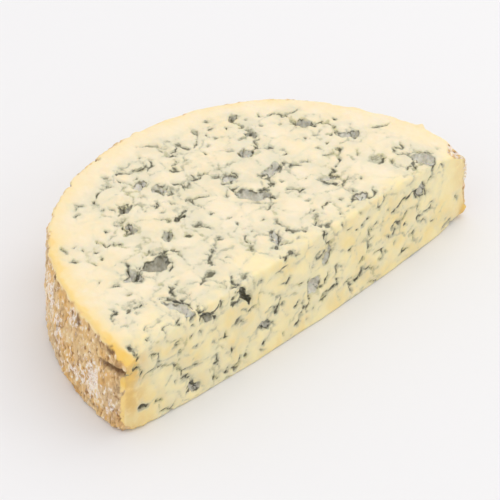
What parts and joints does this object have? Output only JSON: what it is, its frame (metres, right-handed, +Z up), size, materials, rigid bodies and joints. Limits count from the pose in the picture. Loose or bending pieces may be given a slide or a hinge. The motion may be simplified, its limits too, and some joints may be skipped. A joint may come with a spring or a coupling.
{
  "type": "fourme d ambert blue cheese slice",
  "caption": "Half slice of a small blue cheese wheel, lying flat: cream paste with blue-green mould veins and open pockets, and a dry tan rind round its curved side.",
  "frame": {"origin": "middle of the footprint, on the surface that the slice lies on", "axes": "+X along the halving cut, +Y from the cut towards the back of the rind, +Z up through the slice's thickness"},
  "size_m": [0.1325, 0.0735, 0.0256],
  "materials": {
    "cheese": "cream blue-cheese paste, moist and slightly waxy, with a dry tan rind on the curved side"
  },
  "bodies": {
    "root": {"cheese": "cheese"}
  },
  "joints": []
}
